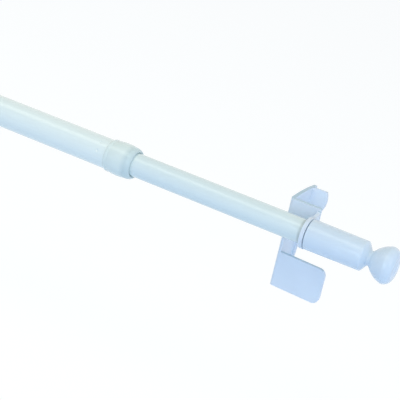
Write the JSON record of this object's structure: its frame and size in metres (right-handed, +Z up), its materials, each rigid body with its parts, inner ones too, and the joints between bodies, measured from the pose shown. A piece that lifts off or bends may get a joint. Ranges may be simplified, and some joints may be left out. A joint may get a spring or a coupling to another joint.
{
  "type": "spring tension rod",
  "caption": "Telescopic spring rod with a knob at each end and a swivelling hook bracket that fits over a window sash lip.",
  "frame": {"origin": "on the rod's axis, at the middle of the outer tube", "axes": "+X along the rod towards the sprung inner tube, +Y away from the room towards the sash, +Z up"},
  "size_m": [0.4501, 0.041, 0.0397],
  "materials": {
    "tube_lacquer": "white lacquer, satin gloss",
    "collar_plastic": "white moulded plastic",
    "end_plastic": "white moulded plastic",
    "bracket_white": "white moulded plastic, satin",
    "inner_plastic": "natural plastic",
    "grip_rubber": "matt rubber",
    "bare_steel": "drawn wire"
  },
  "bodies": {
    "outer": {"outer_tube": "tube_lacquer", "guide_collar": "collar_plastic", "end_reducer": "inner_plastic", "end_piece_left": "end_plastic"},
    "hook_left": {"bracket_left": "bracket_white"},
    "spring_unit": {"carrier_plug": "inner_plastic", "grip_sleeve": "grip_rubber", "guide_rod": "bare_steel", "spring": "bare_steel"},
    "thrust": {"thrust_cup": "inner_plastic"},
    "inner": {"inner_tube": "tube_lacquer", "inner_end_bush": "inner_plastic", "end_piece_right": "end_plastic"},
    "hook_right": {"bracket_right": "bracket_white"}
  },
  "joints": [
    {"name": "length_adjust", "type": "slide", "parent": "outer", "child": "spring_unit", "axis": [1, 0, 0], "range_m": [-0.05, 0.095]},
    {"name": "spring_press", "type": "slide", "parent": "spring_unit", "child": "thrust", "axis": [1, 0, 0], "range_m": [-0.016, 0], "stiffness_N_per_m": 900, "springref_m": 0.01, "deforming": ["spring"]},
    {"name": "tube_twist", "type": "hinge", "parent": "thrust", "child": "inner", "pos_m": [0.0317, 0, 0], "axis": [1, 0, 0], "continuous": true},
    {"name": "bracket_right_swivel", "type": "hinge", "parent": "inner", "child": "hook_right", "pos_m": [0.2268, 0, 0], "axis": [1, 0, 0], "continuous": true},
    {"name": "bracket_left_swivel", "type": "hinge", "parent": "outer", "child": "hook_left", "pos_m": [-0.1469, 0, 0], "axis": [1, 0, 0], "continuous": true}
  ]
}
